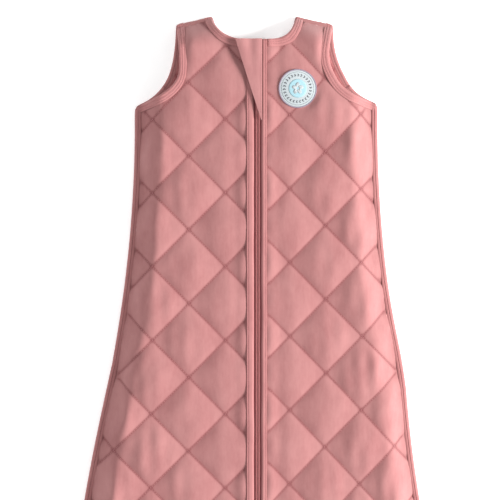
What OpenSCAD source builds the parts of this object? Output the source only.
// Quilted sleeveless baby sleeping bag, lying flat on its back.
// X runs across the bag, +Y points to the neck and +Z up out of the front.
// The origin is on the floor, under the middle of the bag.

/* [Bag] */
// Length from the shoulders to the hem
bag_length = 700; // [650:10:750]
// Width across the chest, under the arms
chest_width = 279; // [265:1:295]
// How fast each side flares below the waist, in width per length
flare_slope = 0.17; // [0.12:0.01:0.2]
// Radius of the two bottom corners
corner_radius = 45; // [30:5:60]

/* [Quilt] */
// Thickness of the back quilt
back_thickness = 7.6; // [6:0.2:9]
// Thickness of the front quilt away from its seams
front_thickness = 8; // [7:0.5:10]
// Thickness of the front quilt where it is sewn into a binding
seam_thickness = 4; // [3:0.5:5]
// Thickness of the outer cloth and of the lining
cloth_thickness = 0.8; // [0.6:0.1:1]
// Height of the sleeping space between the two quilts
space_height = 18; // [14:1:24]

/* [Bindings] */
// Width of the bindings around the neck and the armholes
band_width = 10; // [8:1:12]
// Width of the binding down the sides and around the hem
side_band_width = 9; // [8:1:11]

/* [Zip] */
// Half width of the channel between the two zip pipings
channel_half = 5.3; // [5.2:0.1:6]
// Distance from the zip's centre line to the edge of each front quilt
quilt_edge = 11.5; // [11:0.5:13]
// Where the zip ends above the hem
zip_end_rise = 50; // [45:5:70]
// Half width of the part that folds back at the neck when the zip is open
fold_half = 25; // [24:1:26]

/* [Patch] */
// Diameter of the round patch on the chest
patch_diameter = 44.6; // [40:0.2:48]
// Height of the raised parts of the patch
patch_relief = 0.6; // [0.4:0.1:0.8]

/* [Hidden] */

left = -1;
right = 1;
eps = 0.01;

rose = [0.81, 0.57, 0.57];
rose_dark = [0.66, 0.42, 0.43];
wadding_white = [0.95, 0.94, 0.92];
patch_white = [0.90, 0.93, 0.95];
label_white = [0.96, 0.96, 0.95];
metal_rose = [0.72, 0.50, 0.48];

// Outline of one half of the bag
top_y = bag_length / 2;
hem_y = -bag_length / 2;
chest_half = chest_width / 2;
flare_start_y = top_y - 120;
flare_full_y = top_y - 370;
armpit = [chest_half, top_y - 99];
neck_shoulder = [48.3, top_y];
arm_shoulder = [91.4, top_y - 10];
neck_curve = [neck_shoulder, [43, top_y - 23], [28, top_y - 24.5], [0, top_y - 24.5]];
arm_curve_front = [arm_shoulder, [78, top_y - 54], [84, top_y - 88], armpit];
arm_curve_back = [arm_shoulder, [90, top_y - 50], [96, top_y - 88], armpit];
curve_steps = 16;
neck_seam_t = 0.05;
arm_seam_t = 0.025;

// Heights
layer_gap = 0.4;
seam_gap = 0.5;
front_low = back_thickness + layer_gap;
front_top = front_low + space_height + front_thickness;
side_band_height = front_low + seam_thickness + layer_gap;
slope_width = 50;
shoulder_slope_width = 25;
thin_width = 30;

// Zip, with the heights of its pieces counted down from the front's top
zip_end_y = hem_y + zip_end_rise;
fold_end_y = zip_end_y + 30;
fold_gap = 0.2;
body_gap = 0.4;
neck_edge_y = neck_curve[3].y;
piping_depth = 3;
tape_high = -3.3;
tape_low = -3.7;
coil_high = -2.6;
coil_low = -3.8;
coil_inner = 0.15;
coil_outer = 2.2;
tape_outer = 11.2;
tape_top_y = neck_edge_y - 4.5;
coil_top_y = neck_edge_y - 12;
coil_foot_y = fold_end_y - 8;
stop_y = zip_end_y + 8;

// Slider, at the neck end of the zip
slider_y = neck_edge_y - 14.5;
slider_half_length = 6;
slider_half_width = 4;
plate_high = [-2.3, -1.5];
plate_low = [-5.4, -4.5];
bail_half_width = 0.9;
pivot = [slider_y - 2, -0.5];
bar_radius = 0.6;

// Guard over the slider
guard_gap = 1.8;
guard_thickness = 1.6;
guard_hinge_x = 4;
guard_left_x = -25.8;
guard_tip_y = neck_edge_y - 93.5;

// A cubic Bezier curve, its unit normal and a line beside it
function bez(c, t) = pow(1 - t, 3) * c[0] + 3 * t * pow(1 - t, 2) * c[1]
    + 3 * t * t * (1 - t) * c[2] + pow(t, 3) * c[3];
function bez_slope(c, t) = 3 * pow(1 - t, 2) * (c[1] - c[0])
    + 6 * t * (1 - t) * (c[2] - c[1]) + 3 * t * t * (c[3] - c[2]);
function turned(v) = [-v.y, v.x] / norm(v);
function beside(c, t, d) = bez(c, t) + d * turned(bez_slope(c, t));
function span(a, b, n) = [for (i = [0:n]) a + (b - a) * i / n];
function flipped(points) = [for (p = points) [-p.x, p.y]];
function reversed(points) = [for (i = [len(points) - 1:-1:0]) points[i]];
function rest_of(points) = [for (i = [1:len(points) - 1]) points[i]];

// The t at which a curve's offset reaches a given x, where x only grows or only shrinks
function t_at(c, d, x, a, b, n = 24) =
    n == 0 ? (a + b) / 2
    : (beside(c, (a + b) / 2, d).x < x) == (beside(c, a, d).x < x)
        ? t_at(c, d, x, (a + b) / 2, b, n - 1)
        : t_at(c, d, x, a, (a + b) / 2, n - 1);

// Half width at the side seam: straight at the chest, then a smooth bend into a straight flare
function side_x(y) =
    y > flare_start_y ? chest_half
    : y > flare_full_y ? chest_half
        + flare_slope * pow(flare_start_y - y, 2) / (2 * (flare_start_y - flare_full_y))
    : chest_half + flare_slope * ((flare_start_y - flare_full_y) / 2 + flare_full_y - y);

corner = [side_x(hem_y + corner_radius) - corner_radius, hem_y + corner_radius];

// Distance of a point inside the bag from the closed side and hem seams
function edge_distance(p) =
    p.y > armpit.y ? norm(armpit - p)
    : p.x > corner.x && p.y < corner.y ? corner_radius - norm(p - corner)
    : min(side_x(p.y) - p.x, p.y - hem_y);

// Distance from the shoulder seam
function shoulder_distance(p) =
    let (along = arm_shoulder - neck_shoulder,
         t = min(1, max(0, (p - neck_shoulder) * along / (along * along))))
    norm(p - neck_shoulder - t * along);

function rise(d, w) = sin(90 * min(1, max(0, d / w)));

// Height in the front quilt at a point: f is 0 at its underside and 1 at its top
function front_z(p, f) =
    let (edge = edge_distance(p), shoulder = shoulder_distance(p))
    front_low + space_height * rise(edge, slope_width) * rise(shoulder, shoulder_slope_width)
    + f * (seam_thickness
           + (front_thickness - seam_thickness) * rise(min(edge, shoulder), thin_width));

// The line where an open lapel folds back, and the front quilt's edge beside it
function fold_x(y) = fold_half * (y - fold_end_y) / (neck_edge_y - fold_end_y);
function inner_x(y) = y < zip_end_y - 1 ? 0 : max(quilt_edge, fold_x(y) + fold_gap);

// Points up the side, from the rounded hem corner to the armpit, at an inset
function corner_points(inset, n) =
    [for (a = span(-90, 0, n)) corner + (corner_radius - inset) * [cos(a), sin(a)]];
function side_points(inset, high, n) =
    [for (y = span(corner.y, high, n)) [side_x(y) - inset, y]];

side_band_high = armpit.y - 10.5;
band_inset = band_width + seam_gap;
side_inset = side_band_width + seam_gap;
arm_inset_t = t_at(arm_curve_front, -band_inset, chest_half - side_inset, 0.6, 1);
arm_back_inset_t = t_at(arm_curve_back, -band_inset, chest_half - side_inset, 0.6, 1);
neck_cut_t = t_at(neck_curve, 0, fold_half + 2 * fold_gap, 0, 1);

function arm_inset(c, t_low) =
    [for (t = span(t_low, arm_seam_t, curve_steps)) beside(c, t, -band_inset)];
function neck_inset(t_low) =
    [for (t = span(t_low, neck_seam_t, curve_steps)) beside(neck_curve, t, band_inset)];

// Flat outline of half of the back quilt, inside its bindings
function back_half() = concat(
    [[0, hem_y + side_inset]],
    corner_points(side_inset, 8),
    rest_of(side_points(side_inset, armpit.y - 12, 12)),
    arm_inset(arm_curve_back, arm_back_inset_t),
    reversed(neck_inset(1)));

// A sheet of the front quilt between two of its heights, over a grid of points
module front_sheet(rows, f_low, f_high) {
    n = len(rows);
    m = len(rows[0]);
    low = [for (row = rows) for (p = row) [p.x, p.y, front_z(p, f_low)]];
    high = [for (row = rows) for (p = row) [p.x, p.y, front_z(p, f_high)]];
    top = n * m;
    rim = concat(
        [for (j = [0:m - 1]) j],
        [for (i = [1:n - 1]) i * m + m - 1],
        [for (j = [m - 2:-1:0]) (n - 1) * m + j],
        [for (i = [n - 2:-1:1]) i * m]);
    faces = concat(
        [for (i = [0:n - 2]) for (j = [0:m - 2]) let (a = i * m + j) each [
            [a, a + 1, a + m + 1], [a, a + m + 1, a + m],
            [top + a, top + a + m + 1, top + a + 1], [top + a, top + a + m, top + a + m + 1]]],
        [for (k = [0:len(rim) - 1]) let (a = rim[k], b = rim[(k + 1) % len(rim)]) each [
            [a, top + b, b], [a, top + a, top + b]]]);
    polyhedron(concat(low, high), faces);
}

// Rows of points between an inner and an outer line
function ruled(inner, outer, n) =
    [for (i = [0:len(inner) - 1]) [for (s = [0:n]) inner[i] + (outer[i] - inner[i]) * s / n]];

// The front quilt between the zip and the side; hand is left for the half at negative X
front_columns = 7;
front_inner = concat(
    [for (y = [hem_y + side_inset, hem_y + 25, zip_end_y - 8]) [0, y]],
    [for (y = span(zip_end_y, neck_edge_y - band_width - 2, 13)) [inner_x(y), y]],
    neck_inset(neck_cut_t));
front_outer = concat(
    corner_points(side_inset, 5),
    rest_of(side_points(side_inset, armpit.y - 12, 11)),
    arm_inset(arm_curve_front, arm_inset_t));

module front_layer(hand, f_low, f_high)
    mirror([hand == left ? 1 : 0, 0, 0])
        front_sheet(ruled(front_inner, front_outer, front_columns), f_low, f_high);

cloth_share = cloth_thickness / front_thickness;
fill_share = cloth_share + 0.01;

module front_outer_cloth(hand) color(rose) front_layer(hand, 1 - cloth_share, 1);
module front_fill(hand) color(wadding_white) front_layer(hand, fill_share, 1 - fill_share);
module front_lining(hand) color(rose_dark) front_layer(hand, 0, cloth_share);

// The back quilt, in three flat layers
module back_layer(low, high)
    translate([0, 0, low])
        linear_extrude(high - low)
            polygon(concat(back_half(), flipped(reversed(back_half()))));

module back_outer() color(rose) back_layer(0, cloth_thickness);
module back_fill()
    color(wadding_white) back_layer(cloth_thickness, back_thickness - cloth_thickness);
module back_lining() color(rose_dark) back_layer(back_thickness - cloth_thickness, back_thickness);

// Flat band between a curve and its inset
function band(c, inset, t_low, t_high) = concat(
    [for (t = span(t_low, t_high, curve_steps)) bez(c, t)],
    [for (t = span(t_high, t_low, curve_steps)) beside(c, t, inset)]);

// Band on the front quilt, which follows its height
function band_rows(c, inset, t_low, t_high) =
    [for (t = span(t_low, t_high, curve_steps))
        [beside(c, t, inset), (bez(c, t) + beside(c, t, inset)) / 2, bez(c, t)]];

module neck_binding_back()
    color(rose) linear_extrude(back_thickness)
        polygon(concat(
            [for (t = span(0, 1, curve_steps)) bez(neck_curve, t)],
            flipped([for (t = span(1, 0, curve_steps)) bez(neck_curve, t)]),
            flipped([for (t = span(0, 1, curve_steps)) beside(neck_curve, t, band_width)]),
            [for (t = span(1, 0, curve_steps)) beside(neck_curve, t, band_width)]));

module neck_binding_front(hand)
    color(rose) mirror([hand == left ? 1 : 0, 0, 0])
        front_sheet(band_rows(neck_curve, band_width, 0, neck_cut_t), 0, 1);

module armhole_binding(hand)
    color(rose) mirror([hand == left ? 1 : 0, 0, 0]) {
        front_sheet(reversed(band_rows(arm_curve_front, -band_width, 0, 1)), 0, 1);
        linear_extrude(back_thickness) polygon(band(arm_curve_back, -band_width, 0, 1));
    }

// A short bar of close stitches where the armhole binding's ends meet, inside the back
module armhole_bartack(hand) {
    t = 0.3;
    at = beside(arm_curve_back, t, -band_width / 2);
    color(rose_dark)
        translate([hand * at.x, at.y, back_thickness + 0.3])
            cube([band_width - 2, 2, 0.6], center = true);
}

// Tape sewn along each shoulder, joining the front to the back
module shoulder_tape(hand)
    color(rose) mirror([hand == left ? 1 : 0, 0, 0])
        linear_extrude(front_low + seam_thickness)
            polygon([
                beside(neck_curve, 0, band_width + 0.3),
                beside(neck_curve, neck_seam_t, band_width + 0.3),
                beside(arm_curve_front, arm_seam_t, -band_width - 0.3),
                beside(arm_curve_front, 0, -band_width - 0.3)]);

// Binding over the side seam, holding the edges of both quilts
module side_binding(hand)
    color(rose) mirror([hand == left ? 1 : 0, 0, 0])
        linear_extrude(side_band_height)
            polygon(concat(
                side_points(0, side_band_high, 14),
                reversed(side_points(side_band_width, side_band_high, 14))));

module hem_binding()
    color(rose) linear_extrude(side_band_height)
        polygon(concat(
            flipped(reversed(corner_points(0, 10))), corner_points(0, 10),
            reversed(corner_points(side_band_width, 10)),
            flipped(corner_points(side_band_width, 10))));

// Blank labels: one inside the back of the neck, one inside the left side seam
module size_label()
    color(label_white)
        translate([0, neck_edge_y - band_width - 10, back_thickness + 0.3])
            cube([30, 18, 0.6], center = true);

module care_label()
    color(label_white)
        translate([-side_x(0) + side_band_width + 15, 0, back_thickness + 0.1])
            cube([22, 32, 0.2], center = true);

// Round sewn patch on the right of the chest, with a plain crescent
patch_centre = [46, top_y - 82];
border_width = 2;
module at_patch(high) translate([patch_centre.x, patch_centre.y, front_top + high]) children();

module patch_disc()
    color(patch_white) at_patch(0)
        cylinder(h = patch_relief, r = patch_diameter / 2 - border_width, $fn = 64);

module patch_border()
    color(rose_dark) at_patch(0)
        difference() {
            cylinder(h = 2 * patch_relief, r = patch_diameter / 2, $fn = 64);
            translate([0, 0, -1])
                cylinder(h = 4, r = patch_diameter / 2 - border_width, $fn = 64);
        }

module patch_motif()
    color("lightblue") at_patch(patch_relief)
        difference() {
            cylinder(h = patch_relief, r = 10, $fn = 48);
            translate([4.5, 3, -1]) cylinder(h = 4, r = 7.5, $fn = 48);
        }

// Area of one lapel, from the zip's centre line out to the fold
module lapel_area()
    polygon([
        [0, fold_end_y + 8], [fold_x(fold_end_y + 8) - fold_gap, fold_end_y + 8],
        [fold_x(top_y) - fold_gap, top_y], [0, top_y]]);

// A strip along the zip, x counted out from the centre line, extruded between two heights
module zip_strip(x0, x1, y0, y1, low, high)
    translate([x0, y0, front_top + low]) cube([x1 - x0, y1 - y0, high - low]);

module on_side(hand) mirror([hand == left ? 1 : 0, 0, 0]) children();

// The quilt in the lapel is a long triangle between the piping and the fold
quilt_tip_y = fold_end_y + (quilt_edge + 2) * (neck_edge_y - fold_end_y) / fold_half;
lapel_top_y = neck_edge_y - band_width - 1;
module lapel_layer(hand, low, high)
    on_side(hand) translate([0, 0, front_top - front_thickness + low])
        linear_extrude(high - low)
            polygon([
                [quilt_edge, quilt_tip_y], [fold_x(quilt_tip_y) - fold_gap, quilt_tip_y],
                [fold_x(lapel_top_y) - fold_gap, lapel_top_y], [quilt_edge, lapel_top_y]]);

module lapel_outer(hand)
    color(rose) lapel_layer(hand, front_thickness - cloth_thickness, front_thickness);
module lapel_fill(hand)
    color(wadding_white)
        lapel_layer(hand, cloth_thickness, front_thickness - cloth_thickness);
module lapel_lining(hand) color(rose_dark) lapel_layer(hand, 0, cloth_thickness);

module neck_binding_lapel(hand)
    color(rose) on_side(hand)
        translate([0, 0, front_top - front_thickness])
            linear_extrude(front_thickness)
                intersection() {
                    lapel_area();
                    polygon(concat(
                        [for (t = span(0.5, 1, curve_steps)) bez(neck_curve, t)],
                        [[channel_half, neck_edge_y - band_width]],
                        [for (t = span(0.85, 0.5, curve_steps))
                            beside(neck_curve, t, band_width - 1)]));
                    translate([channel_half, lapel_top_y]) square([40, 20]);
                }

// Piping along the zip edge: one length folds with the lapel, its foot stays on the bag
module piping(hand)
    color(rose) on_side(hand)
        translate([0, 0, front_top - piping_depth])
            linear_extrude(piping_depth)
                intersection() {
                    lapel_area();
                    translate([channel_half, hem_y])
                        square([quilt_edge - channel_half, lapel_top_y - hem_y]);
                }

module piping_foot(hand)
    color(rose) on_side(hand)
        translate([0, 0, front_top - piping_depth])
            linear_extrude(piping_depth)
                difference() {
                    translate([channel_half, zip_end_y + 0.5])
                        square([quilt_edge - channel_half, -zip_end_y]);
                    polygon([
                        [fold_x(fold_end_y - 90) + fold_gap, fold_end_y - 90],
                        [fold_x(top_y) + fold_gap, top_y], [-60, top_y],
                        [-60, fold_end_y - 90]]);
                }

// Zip tapes and coils: those above the foot part as the slider passes
module zip_tape(hand)
    color(rose_dark) on_side(hand) {
        zip_strip(coil_outer, tape_outer, coil_foot_y, lapel_top_y - 2, tape_low, tape_high);
        zip_strip(coil_outer, channel_half - 0.2, lapel_top_y - 2, tape_top_y,
                  tape_low, tape_high);
    }

module zip_coil(hand)
    color(rose_dark) on_side(hand)
        zip_strip(coil_inner, coil_outer, coil_foot_y, coil_top_y, coil_low, coil_high);

module zip_top_stop(hand)
    color(metal_rose) on_side(hand)
        difference() {
            zip_strip(1.4, 4.4, tape_top_y - 3, tape_top_y - 0.5, coil_low - 0.2, coil_high);
            zip_strip(coil_outer, 6, tape_top_y - 4, tape_top_y + 1, tape_low, tape_high);
        }

module zip_tape_foot()
    color(rose_dark)
        for (hand = [left, right])
            on_side(hand)
                zip_strip(coil_outer, tape_outer, zip_end_y + 0.5, coil_foot_y - body_gap,
                          tape_low, tape_high);

module zip_coil_foot()
    color(rose_dark)
        for (hand = [left, right])
            on_side(hand)
                zip_strip(coil_inner, coil_outer, stop_y + 1.5, coil_foot_y - body_gap,
                          coil_low, coil_high);

module zip_bottom_stop()
    color(metal_rose)
        difference() {
            zip_strip(-3.4, 3.4, stop_y - 1.5, stop_y + 1.4, coil_low - 0.3, coil_high + 0.3);
            for (hand = [left, right])
                on_side(hand)
                    zip_strip(coil_outer, 6, stop_y - 3, stop_y + 3, tape_low, tape_high);
        }

// Cloth guard that covers the slider at the neck, so that it can't touch the chin
module zip_guard()
    color(rose)
        translate([0, 0, front_top + guard_gap])
            linear_extrude(guard_thickness)
                polygon([
                    [guard_left_x, neck_edge_y], [guard_hinge_x, neck_edge_y + 0.5],
                    [guard_hinge_x, guard_tip_y], [guard_hinge_x - 1.5, guard_tip_y + 1]]);

// Slider: two plates around the coils, joined by the wedge that parts them
module slider_plate(heights)
    zip_strip(-slider_half_width, slider_half_width, slider_y - slider_half_length,
              slider_y + slider_half_length, heights[0], heights[1]);

module slider_body()
    color(metal_rose) {
        slider_plate(plate_high);
        slider_plate(plate_low);
        zip_strip(-1.1, 1.1, slider_y + 3.4, slider_y + 5.6, plate_low[1] - eps,
                  plate_high[0] + eps);
        for (hand = [left, right])
            on_side(hand) {
                zip_strip(slider_half_width - 0.8, slider_half_width,
                          slider_y - slider_half_length, slider_y + 2,
                          plate_high[0] - 0.4, plate_high[0] + eps);
                zip_strip(slider_half_width - 0.8, slider_half_width,
                          slider_y - slider_half_length, slider_y + 2,
                          plate_low[1] - eps, plate_low[1] + 0.4);
            }
    }

module slider_bail()
    color(metal_rose)
        difference() {
            zip_strip(-bail_half_width, bail_half_width, slider_y - 4.2, slider_y + 4.2,
                      plate_high[1], 1.4);
            zip_strip(-2, 2, slider_y - 3.2, slider_y + 3.2, plate_high[1] - 1, 0.6);
        }

// Pull: a crossbar through the bail, two arms and a flat tab
module pull_tab()
    color(metal_rose) {
        translate([-2, pivot[0], front_top + pivot[1]])
            rotate([0, 90, 0]) cylinder(h = 4, r = bar_radius, $fn = 32);
        for (hand = [left, right])
            on_side(hand) zip_strip(1.25, 2, pivot[0] - 10.5, pivot[0], -1, 0);
        zip_strip(-3.5, 3.5, pivot[0] - 36, pivot[0] - 10, -1, 0);
    }

back_outer();
back_fill();
back_lining();
front_outer_cloth(left);  // front_left_outer
front_fill(left);  // front_left_fill
front_lining(left);  // front_left_lining
front_outer_cloth(right);  // front_right_outer
front_fill(right);  // front_right_fill
front_lining(right);  // front_right_lining
neck_binding_back();
neck_binding_front(left);  // neck_binding_front_left
neck_binding_front(right);  // neck_binding_front_right
armhole_binding(left);  // armhole_binding_left
armhole_binding(right);  // armhole_binding_right
armhole_bartack(left);  // armhole_bartack_left
armhole_bartack(right);  // armhole_bartack_right
shoulder_tape(left);  // shoulder_tape_left
shoulder_tape(right);  // shoulder_tape_right
side_binding(left);  // side_binding_left
side_binding(right);  // side_binding_right
hem_binding();
size_label();
care_label();
patch_disc();
patch_border();
patch_motif();
zip_tape_foot();
zip_coil_foot();
zip_bottom_stop();
piping_foot(left);  // piping_foot_left
piping_foot(right);  // piping_foot_right
lapel_outer(left);  // lapel_left_outer
lapel_fill(left);  // lapel_left_fill
lapel_lining(left);  // lapel_left_lining
lapel_outer(right);  // lapel_right_outer
lapel_fill(right);  // lapel_right_fill
lapel_lining(right);  // lapel_right_lining
neck_binding_lapel(left);  // neck_binding_lapel_left
neck_binding_lapel(right);  // neck_binding_lapel_right
piping(left);  // piping_left
piping(right);  // piping_right
zip_tape(left);  // zip_tape_left
zip_tape(right);  // zip_tape_right
zip_coil(left);  // zip_coil_left
zip_coil(right);  // zip_coil_right
zip_top_stop(left);  // zip_top_stop_left
zip_top_stop(right);  // zip_top_stop_right
zip_guard();
slider_body();
slider_bail();
pull_tab();
